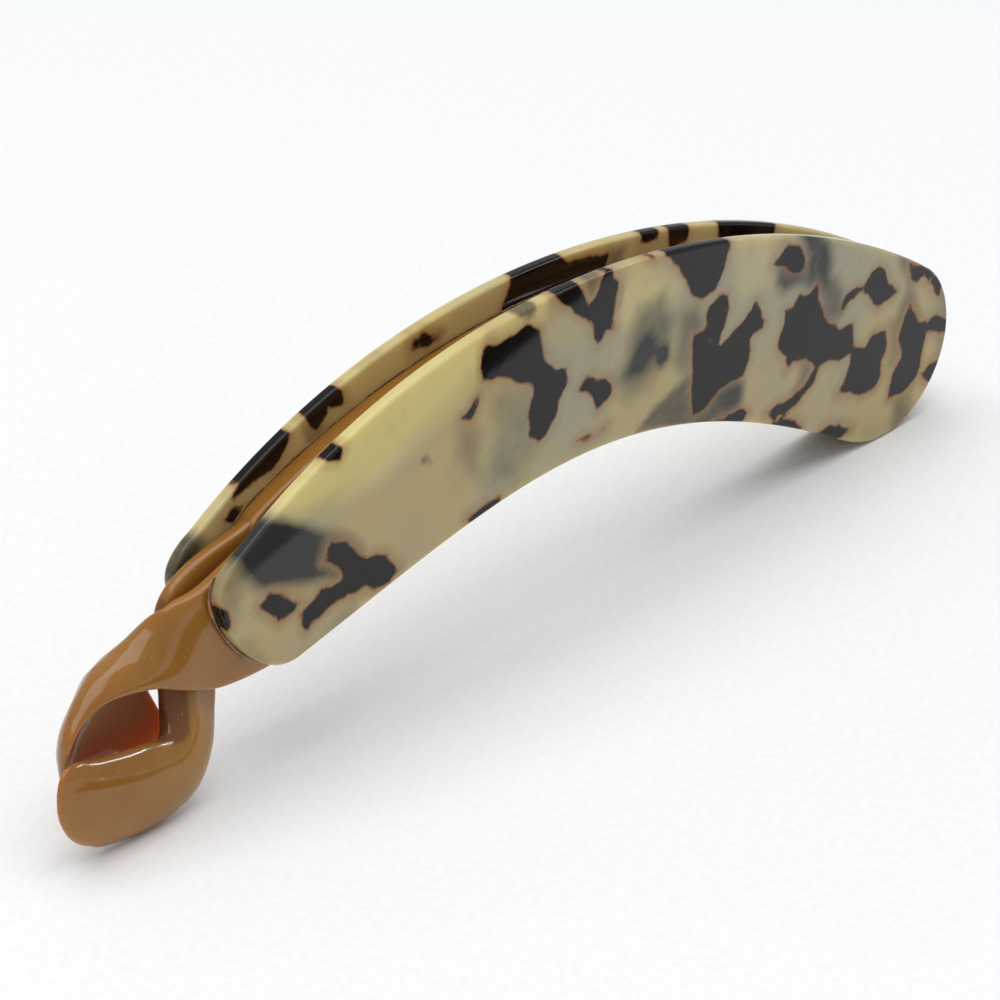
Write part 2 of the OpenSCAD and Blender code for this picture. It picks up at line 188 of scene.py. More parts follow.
# Grey blotches deeper in the near plate, listed in the same way
NEAR_HAZE = [
    ([(-56.8, 31), (-54.4, 33), (-52.4, 33.4), (-50.4, 32.2), (-47, 30), (-42, 27.2), (-38.6, 25.2),
      (-36.6, 23), (-36, 20.4), (-38.6, 19.8), (-42, 21.4), (-45.8, 22.4), (-50, 23.4), (-53, 24.6),
      (-55, 27)], 3.4, 0.96),
    ([(-52.6, 31.6), (-50, 31.4), (-45.6, 29), (-40.6, 25.8), (-37, 22), (-42, 23), (-46, 25),
      (-52, 28.4)], 2.2, 0.85),
    ([(-52, 11.5), (-46, 13), (-38, 15.6), (-36, 13.8), (-48, 10.4)], 4.5, 0.5),
    ([(-58.8, 26.8), (-56.5, 29.7), (-54.5, 27), (-56.2, 23.3), (-58.4, 23.9)], 3, 0.35),
    ([(-57.6, 19.6), (-55, 18.6), (-51.6, 14.6), (-53, 12), (-57, 15)], 3, 0.3),
    ([(13.8, 37), (18.8, 37.6), (20.8, 33), (20, 28.4), (14, 28), (12, 32)], 4, 0.55),
    ([(80, 22), (84, 18), (84, 5), (80.6, 5.6), (81, 14)], 4, 0.45),
    ([(24, 24), (27.6, 30.4), (26, 34), (22.6, 34), (21.4, 27)], 3.4, 0.5),
    ([(-26, 30.9), (-24.8, 30.6), (-23.8, 29.8), (-25.2, 30)], 0.8, 0.75),
    ([(-20, 32.6), (-16, 33), (-15.6, 25), (-18.6, 26.6)], 4, 0.34),
    ([(-14, 36), (-6.6, 33), (-5.6, 24.6), (-9, 21.4), (-14.4, 22.4), (-13, 29)], 5, 0.3),
    ([(-11.5, 45.4), (-5.4, 45.4), (-5.6, 42.7), (-6.6, 42.1), (-8.6, 43.2)], 0.8, 0.6),
    ([(3.2, 45), (7.4, 45), (6, 41.4), (4, 41)], 1.6, 0.5),
    ([(9.6, 41.4), (10.8, 41), (10.6, 38.4), (9.2, 38)], 2, 0.4),
    ([(11.4, 29.2), (14, 31.6), (15.8, 33), (17.2, 31.8), (17.4, 30), (15, 28.4), (12, 28)], 2.8, 0.72),
    ([(17.6, 30.4), (20, 30.4), (20.2, 28.4), (19, 27.4), (17.8, 28)], 1.2, 0.66),
    ([(9, 29), (13, 30), (19, 28.6), (17, 25.6), (12, 24.8)], 4.5, 0.42),
    ([(13.9, 20.1), (17, 22), (21, 23.6), (25.4, 24.4), (27, 20), (24, 17.4), (19, 19)], 1.3, 0.62),
    ([(25, 23), (34, 22), (36.4, 19), (35.4, 15.4), (29, 15), (24, 17)], 2.4, 0.72),
    ([(42.6, 33.8), (45.5, 34), (48.6, 32), (48.4, 29.8), (44, 29.6), (42.4, 31.4)], 2.6, 0.75),
    ([(46.2, 38.4), (50.4, 37), (53.8, 34), (54.8, 30), (52.2, 27.4), (48.8, 28.6), (48.8, 33)], 3, 0.78),
    ([(52.4, 30), (56, 28), (57.6, 24.6), (55.6, 21), (52, 22.4)], 3.4, 0.6),
    ([(55, 23.4), (58.4, 24.6), (58.6, 22.6), (56.4, 21.4)], 1.8, 0.45),
    ([(48, 19.5), (52, 18.6), (52, 15.6), (48, 13.4), (46, 13.6), (48.6, 16)], 2.2, 0.5),
    ([(70.4, 17), (73, 22), (75.4, 18), (77.4, 14), (72, 12)], 3, 0.55),
    ([(68.6, 17.6), (71.6, 16), (72.2, 11.6), (69, 10)], 2.6, 0.4),
    ([(70, 27.6), (76, 24), (74, 21.6), (71, 24)], 2.6, 0.5),
    ([(70.6, 5.6), (75, 5.4), (75.4, 0), (70.6, 0)], 2.8, 0.42),
    ([(-58.8, 27.4), (-55, 30.4), (-53, 33), (-60, 32)], 2.6, 0.5),
]
# The far plate's sharp blotches: the first nine show above the near plate in
# the closed clip, and the others don't
FAR_INK = [
    [(-49.4, 31.8), (-48, 33.8), (-46.4, 35), (-46, 37.4), (-43, 38.6), (-40.6, 38.4), (-39.8, 36.8),
     (-40.6, 35.2), (-43, 33.4), (-46, 32.8)],
    [(-50.8, 29.6), (-49.6, 30.6), (-48, 30.3), (-49.4, 29.2)],
    [(-39.2, 39), (-37.6, 40.6), (-35, 41), (-33, 40.6), (-31.4, 38.8), (-30.6, 37.4), (-32.6, 37.7),
     (-34.2, 38.4), (-33.9, 37), (-35.6, 35.7), (-36.5, 36.2), (-37, 38)],
    [(-27.6, 42), (-25, 42.4), (-25, 43.4), (-28, 43)],
    [(-19.8, 40.9), (-19.2, 41.7), (-18.2, 41.3), (-17.2, 41.8), (-16.3, 40.9), (-14.6, 40.6),
     (-16.6, 40), (-19.4, 40.2)],
    [(-3.4, 40.2), (-2, 42.4), (-1.4, 45), (6.6, 45), (8.8, 42.8), (17, 41.4), (16, 38.6), (8, 36.4),
     (0, 37.4)],
    [(23, 44), (27, 43.4), (26.6, 40.4), (23.4, 40.8)],
    [(28.8, 43), (33, 42.4), (32.6, 38.6), (29, 38.2)],
    [(39, 41.4), (47.5, 38.8), (52.4, 36), (50, 31), (43, 30.6), (39.6, 35.6)],
    [(-52, 22), (-48.6, 24.6), (-45, 22.4), (-42.8, 20.6), (-46, 18.2), (-50, 18.8)],
    [(-39, 28), (-36, 30.8), (-31.4, 29.6), (-28.2, 26.4), (-30.8, 23), (-34, 24.6), (-36.6, 22.4)],
    [(-23, 23.6), (-20, 26.8), (-16.4, 25.2), (-15, 21.4), (-19, 20.2)],
    [(-16.6, 33.4), (-12.8, 36), (-9, 34.6), (-7.4, 30.8), (-10.6, 27.8), (-14.4, 29.4)],
    [(-1.6, 27), (2.2, 30.4), (6.8, 29.6), (9, 25.8), (5.4, 23.6), (1, 23.4)],
    [(12.6, 33.4), (17, 34.8), (21, 31.6), (19.4, 27.6), (15.2, 25.2), (12.4, 28.6)],
    [(26, 27.2), (29.8, 30), (34, 27.4), (33, 22.4), (29.6, 19.8), (26.4, 22.6)],
    [(36, 21.4), (40.4, 24), (44.2, 21.2), (42.8, 16.8), (38.4, 15.2)],
    [(50.6, 26), (55, 28.8), (59.4, 26), (58, 21.4), (53, 20.4)],
    [(49, 13), (53.4, 16.4), (57.6, 13.8), (56, 8.8), (51.4, 8.6)],
    [(63, 19), (66, 22.8), (71.6, 21), (73, 15.8), (68.4, 13.2), (64.6, 14)],
    [(62.4, 7.6), (66, 9.8), (70.4, 7.6), (69, 3), (64, 2.4)],
    [(76.4, 12), (79.4, 14.6), (83.4, 13.4), (83.4, 9), (79, 8)],
    [(73, 26), (78.6, 22.8), (77, 19.6), (73.6, 21)],
]
FAR_HAZE = [
    ([(-60.6, 24), (-59.4, 28.2), (-56, 30.8), (-54, 28.4), (-56, 25)], 2.6, 0.7),
    ([(-38, 37.4), (-34.6, 37), (-34.4, 35), (-37, 34.6)], 2.2, 0.5),
    ([(-16.4, 41.4), (-13.6, 41), (-14.6, 39.6), (-16.8, 40)], 1.2, 0.45),
    ([(17, 42), (20, 41.4), (19, 38), (15, 37.6)], 2.4, 0.5),
    ([(-33, 35), (-27, 33.6), (-27.6, 29), (-32, 30)], 3.4, 0.5),
    ([(-8, 27), (-3, 25), (-4.6, 21.8), (-9.6, 21.6)], 3.4, 0.45),
    ([(21, 26), (26, 25), (24.4, 20), (20.4, 21)], 3, 0.55),
    ([(44, 28), (50, 26), (48.4, 20.4), (44, 21.6)], 3.4, 0.6),
    ([(58, 18), (62.6, 17), (62, 11), (58, 11.4)], 3, 0.5),
    ([(72, 12), (76, 11), (75, 5), (71.4, 5.4)], 3, 0.5),
]


# ------------------------------------------------------------------- curves
def cubic(p, t):
    """Points at fractions t of a cubic curve with four control points."""
    t = np.asarray(t, float)[..., None]
    return ((1 - t) ** 3 * p[0] + 3 * (1 - t) ** 2 * t * p[1]
            + 3 * (1 - t) * t ** 2 * p[2] + t ** 3 * p[3])


def cubic_slope(p, t):
    """A third of the curve's slope: only its direction is used."""
    t = np.asarray(t, float)[..., None]
    return (1 - t) ** 2 * (p[1] - p[0]) + 2 * (1 - t) * t * (p[2] - p[1]) + t ** 2 * (p[3] - p[2])


def closed_curve(path, spacing):
    """Evenly spaced points round a closed path of cubic curves."""
    p = np.array(path, float)
    n = len(p)
    t = np.linspace(0, 1, 200, endpoint=False)
    fine = np.concatenate([
        cubic([p[i], p[i + 1], p[i + 2], p[(i + 3) % n]], t) for i in range(0, n, 3)])
    steps = np.linalg.norm(np.roll(fine, -1, axis=0) - fine, axis=1)
    along = np.concatenate([[0], np.cumsum(steps)])
    fine = np.vstack([fine, fine[:1]])
    want = np.linspace(0, along[-1], int(along[-1] / spacing), endpoint=False)
    return np.stack([np.interp(want, along, fine[:, k]) for k in (0, 1)], 1)


def outward(loop):
    """Unit normals of a closed loop of points, pointing out of it."""
    slope = np.roll(loop, -1, axis=0) - np.roll(loop, 1, axis=0)
    normal = np.stack([slope[:, 1], -slope[:, 0]], 1)
    normal /= np.linalg.norm(normal, axis=1, keepdims=True)
    x, z = loop.T
    area = np.sum(x * np.roll(z, -1) - np.roll(x, -1) * z)
    return normal if area > 0 else -normal


def inside(points, corners):
    """True for each point that lies in a polygon."""
    a = np.array(corners, float)
    b = np.roll(a, -1, axis=0)
    px, pz = points[:, :1], points[:, 1:]
    crosses = (a[:, 1] > pz) != (b[:, 1] > pz)
    with np.errstate(divide="ignore", invalid="ignore"):
        where = (b[:, 0] - a[:, 0]) * (pz - a[:, 1]) / (b[:, 1] - a[:, 1]) + a[:, 0]
    return (crosses & (px < where)).sum(1) % 2 == 1


def distance(points, corners):
    """Distance of each point to a polygon's edge, below zero inside it."""
    a = np.array(corners, float)
    b = np.roll(a, -1, axis=0)
    d = b - a
    t = ((points[:, None] - a) * d).sum(2) / (d ** 2).sum(1)
    nearest = a + np.clip(t, 0, 1)[..., None] * d
    out = np.linalg.norm(points[:, None] - nearest, axis=2).min(1)
    return np.where(inside(points, corners), -out, out)


def soft_step(x):
    """Smooth rise from 0 to 1 as x does."""
    x = np.clip(x, 0, 1)
    return x * x * (3 - 2 * x)


# ------------------------------------------------------------------- meshes
def make_piece(name, verts, faces, body, material, stands_for=()):
    """A mesh piece, given in millimetres, that rides on a CAD body."""
    mesh = bpy.data.meshes.new(name)
    mesh.from_pydata([tuple(v) for v in np.asarray(verts) * MM], [], faces)
    mesh.validate()
    mesh.polygons.foreach_set("use_smooth", [True] * len(mesh.polygons))
    mesh.update()
    piece = bpy.data.objects.new(name, mesh)
    bpy.context.scene.collection.objects.link(piece)
    mesh.materials.append(material)
    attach(piece, body)
    if stands_for:
        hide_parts(*stands_for)
    return piece


def add_number(piece, name, values):
    """Stores one number per vertex for the material to read."""
    field = piece.data.attributes.new(name, "FLOAT", "POINT")
    field.data.foreach_set("value", np.asarray(values, np.float32))


def join_grids(parts):
    """One list of vertices and faces from several."""
    verts, faces, base = [], [], 0
    for v, f in parts:
        verts.append(np.asarray(v, float))
        faces += [tuple(base + i for i in face) for face in f]
        base += len(v)
    return np.concatenate(verts), faces


def ring_faces(rings, sides, closed_ends=True):
    """Quads between rings of points that follow one another."""
    faces = []
    for r in range(rings - 1):
        for k in range(sides):
            a, b = r * sides + k, r * sides + (k + 1) % sides
            faces.append((a, b, b + sides, a + sides))
    if closed_ends:
        faces.append(tuple(range(sides - 1, -1, -1)))
        faces.append(tuple((rings - 1) * sides + k for k in range(sides)))
    return faces


def fill(loop, spacing):
    """Extra points on an even grid inside a loop, and triangles that join both.

    A triangle's corners count along the loop first, then along the extra points.
    """
    low, high = loop.min(0), loop.max(0)
    xs = np.arange(low[0], high[0], spacing)
    zs = np.arange(low[1], high[1], spacing)
    grid = np.stack(np.meshgrid(xs, zs), -1).reshape(-1, 2)
    grid[:, 0] += spacing / 2 * (np.round((grid[:, 1] - low[1]) / spacing) % 2)
    grid = grid[distance(grid, loop[::2]) < -0.6 * spacing]
    points = np.concatenate([loop, grid])
    found = delaunay_2d_cdt([Vector(p) for p in points], [], [list(range(len(loop)))], 1, 1e-6)
    source = [ids[0] for ids in found[3]]
    return grid, [tuple(source[i] for i in f) for f in found[2]]


def soften(loop, passes):
    """Rounds a loop's corners by averaging neighbours."""
    for _ in range(passes):
        loop = loop / 2 + (np.roll(loop, 1, axis=0) + np.roll(loop, -1, axis=0)) / 4
    return loop


def quarter(radius, steps):
    """A rounded edge's points: how far each is in from the side and the face."""
    turn = [math.pi / 2 * k / steps for k in range(steps + 1)]
    return [(radius * (1 - math.sin(a)), radius * (1 - math.cos(a))) for a in turn]


def rounded_slab(path, y_low, y_high, radius, spacing, grid, corner_passes=0, arc=5):
    """A slab standing between two values of Y, its edges rounded."""
    loop = soften(closed_curve(path, spacing), corner_passes)
    normal = outward(loop)
    edge = quarter(radius, arc)
    flat = radius + 0.12
    ring = [(flat, y_low)]
    ring += [(inset, y_low + rise) for inset, rise in edge]
    ring += [(inset, y_high - rise) for inset, rise in edge[::-1]]
    ring += [(flat, y_high)]
    rings = []
    for inset, y in ring:
        p = loop - normal * inset
        rings.append(np.stack([p[:, 0], np.full(len(p), y), p[:, 1]], 1))
    sides = len(loop)
    verts = np.concatenate(rings)
    faces = ring_faces(len(rings), sides, closed_ends=False)
    extra, cap = fill(loop - normal * flat, grid)
    for start, y in ((0, y_low), ((len(rings) - 1) * sides, y_high)):
        base = len(verts)
        verts = np.concatenate([verts, np.insert(extra, 1, y, axis=1)])
        faces += [tuple(start + i if i < sides else base + i - sides for i in tri) for tri in cap]
    return verts, faces


def fix_normals(piece):
    """Turns every face outwards."""
    bm = bmesh.new()
    bm.from_mesh(piece.data)
    bmesh.ops.recalc_face_normals(bm, faces=bm.faces)
    bm.to_mesh(piece.data)
    bm.free()


# ---------------------------------------------------------------- materials
class Nodes:
    """A short way to write a node tree."""

    def __init__(self, name):
        self.material = bpy.data.materials.new(name)
        self.material.use_nodes = True
        self.tree = self.material.node_tree
        self.shader = self.tree.nodes["Principled BSDF"]

    def put(self, socket, value):
        """Links or sets a socket."""
        if isinstance(value, bpy.types.NodeSocket):
            self.tree.links.new(value, socket)
        elif isinstance(value, tuple) and len(value) == 3 and socket.type == "RGBA":
            socket.default_value = (*value, 1)
        else:
            socket.default_value = value

    def add(self, kind, out=0, settings=(), **inputs):
        """A node's output; an input is given by its name, or as i0, i1 and so on."""
        node = self.tree.nodes.new(kind)
        for key, value in dict(settings).items():
            setattr(node, key, value)
        for key, value in inputs.items():
            name = int(key[1:]) if key[0] == "i" and key[1:].isdigit() else key.replace("_", " ")
            self.put(node.inputs[name], value)
        return node.outputs[out]

    def place(self):
        return self.add("ShaderNodeTexCoord", out="Object")

    def number(self, name):
        return self.add("ShaderNodeAttribute", out="Fac", settings={"attribute_name": name})

    def noise(self, where, scale, detail=3.0, rough=0.5, warp=0.0):
        return self.add("ShaderNodeTexNoise", out="Fac", Vector=where, Scale=scale, Detail=detail,
                        Roughness=rough, Distortion=warp)

    def math(self, kind, a, b):
        return self.add("ShaderNodeMath", settings={"operation": kind}, i0=a, i1=b)

    def wobble(self, noise, amount):
        """Noise centred on zero."""
        return self.math("MULTIPLY", self.math("SUBTRACT", noise, 0.5), amount)

    def ramp(self, value, low, high, to_low=0.0, to_high=1.0, soft=True):
        kind = "SMOOTHSTEP" if soft else "LINEAR"
        return self.add("ShaderNodeMapRange", settings={"interpolation_type": kind}, i0=value, i1=low,
                        i2=high, i3=to_low, i4=to_high)

    def mix(self, factor, a, b):
        node = self.tree.nodes.new("ShaderNodeMix")
        node.data_type = "RGBA"
        self.put(node.inputs[0], factor)
        self.put(node.inputs[6], a)
        self.put(node.inputs[7], b)
        return node.outputs[2]

    def stretch(self, where, scale, turn=(0, 0, 0)):
        return self.add("ShaderNodeMapping", Vector=where, Scale=scale, Rotation=turn)

    def bump(self, height, strength, depth):
        return self.add("ShaderNodeBump", Height=height, Strength=strength, Distance=depth)

    def finish(self, **inputs):
        for key, value in inputs.items():
            self.put(self.shader.inputs[key.replace("_", " ")], value)
        return self.material


# Tortoiseshell acetate
CREAM = (0.43, 0.36, 0.195)
CREAM_WARM = (0.47, 0.375, 0.175)
CREAM_COOL = (0.37, 0.34, 0.235)
# Yellower cream for patches, and the painted glow of light shining through the far plate
CREAM_YELLOW_AND_PAINTED_GLOW = (0.68, 0.575, 0.26)
DEEP_GREY = (0.028, 0.029, 0.032)
INK = (0.008, 0.006, 0.006)
HALO = (0.24, 0.095, 0.03)
# Caramel moulding
CARAMEL = (0.29, 0.125, 0.022)
CARAMEL_LIGHT = (0.37, 0.185, 0.034)
# Painted shade in the tails' hollows, and painted glow where light shines through the near bowl
CARAMEL_PAINTED_SHADE = (0.19, 0.07, 0.019)
BOWL_PAINTED_GLOW = (0.33, 0.17, 0.08)
CARAMEL_SPECK = (0.62, 0.42, 0.2)
# Adhesive
AMBER = (0.16, 0.055, 0.01)
AMBER_LIGHT = (0.34, 0.15, 0.03)
BUBBLE = (0.8, 0.66, 0.4)
# Pin, floor, and the card seen only in reflections, a painted dark reflection
WIRE = (0.62, 0.62, 0.64)
WIRE_STAIN = (0.44, 0.43, 0.42)
PAPER = (0.93, 0.935, 0.94)
PAPER_GRAIN = (0.90, 0.905, 0.91)
REFLECTION_BLACK = (0.004, 0.004, 0.004)
REFLECTION_BLACK_MOTTLE = (0.01, 0.01, 0.01)


def tortoiseshell():
    """Polished acetate: cream with yellower patches and a painted glow where light shines through, hazy
    grey depths, sharp near-black blotches with amber rims.
    """
    n = Nodes("tortoiseshell")
    where = n.place()
    cloud = n.noise(where, 45, detail=2)
    fine = n.noise(where, 700, detail=4, rough=0.6)
    wave = n.noise(where, 260, detail=3, rough=0.55)
    streaks = n.noise(n.stretch(where, (60, 200, 420), (0, 0.6, 0)), 1, detail=4)
    ground = n.mix(n.ramp(cloud, 0.35, 0.65), CREAM_COOL, CREAM_WARM)
    ground = n.mix(n.ramp(streaks, 0.45, 0.75, 0, 0.35), ground, CREAM)
    # Yellower patches, and on the far plate a painted glow of light shining through
    ground = n.mix(n.number("yellow_and_painted_glow"), ground, CREAM_YELLOW_AND_PAINTED_GLOW)

    # How much grey lies in the depth
    haze = n.number("haze")
    uneven = n.math("ADD", n.wobble(wave, 0.4), haze)
    haze_amount = n.ramp(uneven, 0.02, 0.8, 0, 0.98, soft=False)
    colour = n.mix(haze_amount, ground, DEEP_GREY)

    # Millimetres outside the nearest sharp blotch, made ragged
    edge = n.math("ADD", n.number("ink"), n.wobble(wave, 1.5))
    edge = n.math("ADD", edge, n.wobble(fine, 0.7))
    glow = n.math("MULTIPLY", n.ramp(edge, 0.1, 2.0, 1, 0), n.ramp(cloud, 0.3, 0.7, 0.35, 0.85))
    colour = n.mix(glow, colour, n.mix(0.55, ground, HALO))
    rim = n.ramp(edge, 0.0, 0.45, 0.85, 0)
    colour = n.mix(rim, colour, HALO)
    mask = n.ramp(edge, -0.15, 0.16, 1, 0)
    colour = n.mix(mask, colour, INK)
    polish = n.noise(where, 900, detail=2)
    scuffs = n.noise(n.stretch(where, (900, 900, 9000), (0, 0.5, 0)), 1, detail=2)
    return n.finish(
        Base_Color=colour,
        Roughness=n.ramp(scuffs, 0.55, 0.8, 0.05, 0.12),
        IOR=1.33,
        Subsurface_Weight=0.7,
        Subsurface_Radius=(1.0, 0.82, 0.5),
        Subsurface_Scale=0.0035,
        Normal=n.bump(polish, 0.012, 0.0002),
    )


def moulding():
    """Glossy translucent caramel plastic, with painted shade, redder and darker, in the tails' hollows
    and a painted glow of light through the near bowl's depth.
    """
    n = Nodes("arm_plastic")
    where = n.place()
    cloud = n.noise(where, 60, detail=3)
    flow = n.noise(n.stretch(where, (70, 260, 260)), 1, detail=4, warp=0.6)
    colour = n.mix(n.ramp(cloud, 0.3, 0.7), CARAMEL, CARAMEL_LIGHT)
    colour = n.mix(n.ramp(flow, 0.4, 0.8, 0, 0.3), colour, CARAMEL)
    # Painted shade in the hollows, and painted glow deepest in the near bowl
    painted_shade_and_glow = n.number("painted_shade_and_glow")
    colour = n.mix(n.ramp(painted_shade_and_glow, 0, 0.5), colour, CARAMEL_PAINTED_SHADE)
    colour = n.mix(n.ramp(painted_shade_and_glow, 0.5, 1), colour, BOWL_PAINTED_GLOW)
    specks = n.noise(where, 2600, detail=1)
    colour = n.mix(n.ramp(specks, 0.74, 0.8, 0, 0.5), colour, CARAMEL_SPECK)
    dimples = n.noise(where, 500, detail=2)
    return n.finish(
        Base_Color=colour,
        Roughness=n.ramp(flow, 0.3, 0.8, 0.09, 0.15),
        IOR=1.46,
        Subsurface_Weight=0.6,
        Subsurface_Radius=(1.0, 0.42, 0.12),
        Subsurface_Scale=0.003,
        Normal=n.bump(dimples, 0.06, 0.0002),
    )


def glue():
    """Clear hardened adhesive, amber over the caramel plastic, with tiny bubbles."""
    n = Nodes("adhesive")
    where = n.place()
    cloud = n.noise(where, 500, detail=2)
    bubbles = n.add("ShaderNodeTexVoronoi", out="Distance", Vector=where, Scale=1800)
    colour = n.mix(n.ramp(cloud, 0.35, 0.7), AMBER, AMBER_LIGHT)
    colour = n.mix(n.ramp(bubbles, 0.05, 0.25, 0.5, 0), colour, BUBBLE)
    return n.finish(
        Base_Color=colour,
        Roughness=n.ramp(cloud, 0.3, 0.8, 0.04, 0.12),
        IOR=1.5,
        Subsurface_Weight=0.5,
        Subsurface_Radius=(1.0, 0.6, 0.2),
        Subsurface_Scale=0.001,
        Coat_Weight=0.6,
        Coat_Roughness=0.02,
        Normal=n.bump(cloud, 0.15, 0.0002),
    )


def pin_steel():
    """Drawn wire, with fine lines round it."""
    n = Nodes("pin_steel")
    where = n.place()
    drawn = n.stretch(where, (400, 400, 6000), (0, math.radians(PIN_LEAN), 0))
    lines = n.noise(drawn, 1, detail=3)
    stain = n.noise(where, 900, detail=3)
    colour = n.mix(n.ramp(stain, 0.4, 0.7), WIRE, WIRE_STAIN)
    return n.finish(
        Base_Color=colour,
        Metallic=1.0,
        Roughness=n.ramp(lines, 0.3, 0.7, 0.22, 0.38),
        Normal=n.bump(lines, 0.2, 0.0001),
    )


def paper():
    """The pale matt floor."""
    n = Nodes("paper")
    grain = n.noise(n.place(), 900, detail=3)
    colour = n.mix(n.ramp(grain, 0.3, 0.7), PAPER_GRAIN, PAPER)
    return n.finish(
        Base_Color=colour,
        Roughness=n.ramp(grain, 0.3, 0.7, 0.75, 0.85),
        Specular_IOR_Level=0.2,
    )


SHELL = tortoiseshell()
PLASTIC = moulding()
GLUE = glue()
STEEL = pin_steel()


# ------------------------------------------------------------------- plates
# Painted glow: the far plate is this yellow all over, for the light that shines through it from behind
FAR_PAINTED_GLOW = 0.55


def patches(points, rows):
    """How far each point is covered by soft-edged polygons, 0 to 1."""
    clear = np.ones(len(points))
    for corners, softness, strength in rows:
        clear *= 1 - strength * soft_step(0.5 - distance(points, corners) / softness)
    return 1 - clear


def plate(name, side, body, ink, haze, yellow_and_painted_glow):
    """A plate, with what its material needs stored on its vertices."""
    low, high = sorted((side * PLATE_INNER, side * PLATE_OUTER))
    verts, faces = rounded_slab(PLATE_PATH, low, high, PLATE_ROUND, EDGE_SPACING, PLATE_GRID)
    piece = make_piece(name + "_shell", verts, faces, body, SHELL, [name])
    fix_normals(piece)
    flat = np.delete(verts, 1, axis=1)
    add_number(piece, "ink", np.min([distance(flat, c) for c in ink], axis=0))
    add_number(piece, "haze", patches(flat, haze))
    # Without patches, the even painted glow of light through the far plate
    add_number(piece, "yellow_and_painted_glow", patches(flat, yellow_and_painted_glow) if yellow_and_painted_glow else np.full(len(flat), FAR_PAINTED_GLOW))
    return piece


# --------------------------------------------------------------------- arms
def rail(name, side, body):
    """The bar along the top of an arm, its corners well worn."""
    low, high = sorted((side * ARM_GAP, side * (ARM_OUTER + GLUE_BITE)))
    verts, faces = rounded_slab(RAIL_PATH, low, high, RAIL_ROUND, EDGE_SPACING, ARM_GRID,
                                corner_passes=30)
    piece = make_piece(name + "_bar", verts, faces, body, PLASTIC, [name])
    fix_normals(piece)
    add_number(piece, "painted_shade_and_glow", np.zeros(len(verts)))
    return piece


def film(name, side, body):
    """The film of adhesive between a rail and its plate."""
    low, high = sorted((side * (ARM_OUTER - GLUE_BITE), side * PLATE_INNER))
    verts, faces = rounded_slab(RAIL_PATH, low, high, FILM_ROUND, FILM_SPACING, ARM_GRID,
                                corner_passes=20, arc=2)
    piece = make_piece(name + "_film", verts, faces, body, GLUE, [name])
    fix_normals(piece)
    return piece


BEAD_RADIUS = 0.42
BEAD_TOP = 27.5
BEAD_BOTTOM = 13.2


def glue_bead(name, side, body):
    """Adhesive squeezed out along the plate's clasp end, in uneven drops."""
    loop = closed_curve(PLATE_PATH, EDGE_SPACING / 2)
    normal = outward(loop)
    x, z = loop.T
    picked = np.flatnonzero((x < RAIL_START) & (z > BEAD_BOTTOM) & (z < BEAD_TOP))
    picked = sorted(picked, key=lambda k: -z[k])
    sides = 12
    y = side * (PLATE_INNER + 0.12)
    points = []
    for i, k in enumerate(picked):
        u = i / (len(picked) - 1)
        swell = 0.62 + 0.25 * math.sin(9 * u + 0.8) + 0.13 * math.sin(23 * u + 2)
        taper = math.sin(math.pi * min(max(u, 0.02), 0.98)) ** 0.35
        r = BEAD_RADIUS * swell * taper
        centre = loop[k] + normal[k] * 0.1
        for j in range(sides):
            a = 2 * math.pi * j / sides
            out = centre + normal[k] * r * math.cos(a)
            points.append((out[0], y + r * 0.9 * math.sin(a), out[1]))
    piece = make_piece(name, points, ring_faces(len(picked), sides), body, GLUE)
    fix_normals(piece)
    return piece


# -------------------------------------------------------------------- tails
TAIL_RINGS = 110
TAIL_SIDES = 48
DOME_RINGS = 8


def station(rows, u):
    """The tail's cross-section at fraction u, smoothly between its rows."""
    last = len(rows) - 1
    i = min(int(u * last), last - 1)
    t = u * last - i
    a, b, c, d = rows[max(i - 1, 0)], rows[i], rows[i + 1], rows[min(i + 2, last)]
    return [0.5 * (2 * b[k] + t * (c[k] - a[k]) + t * t * (2 * a[k] - 5 * b[k] + 4 * c[k] - d[k])
                   + t ** 3 * (3 * b[k] - a[k] - 3 * c[k] + d[k])) for k in range(5)]


def tail_skin(rows, u, s):
    """Points of the tail's middle surface, at fractions s across it."""
    return cubic(station(rows, u)[:4], s)


def tail_normal(rows, u, s):
    """Unit normals of the tail's middle surface."""
    e = 0.01
    s = np.clip(s, 2 * e, 1 - 2 * e)
    u = min(max(u, e), 1 - e)
    along = tail_skin(rows, u + e, s) - tail_skin(rows, u - e, s)
    across = tail_skin(rows, u, s + e) - tail_skin(rows, u, s - e)
    normal = np.cross(along, across)
    return normal / np.linalg.norm(normal, axis=1, keepdims=True)


def bowl_shade(u, s, lift):
    """How deep a point lies in the near tail's bowl, 0 to 1: the painted shade there, turning to painted
    glow deepest in.
    """
    return soft_step(0.5 + lift) * soft_step((u - 0.45) / 0.25) * soft_step(s / 0.25)


def fold_shade(u, s, lift):
    """Painted shade, darker and redder, in the fold down the far tail's neck, along its edge at s = 0."""
    width = 0.33 * soft_step((u - 0.31) / 0.08) * soft_step((0.75 - u) / 0.18)
    return 0.5 * soft_step((width - s) / 0.08 + 0.5) * (width > 0)


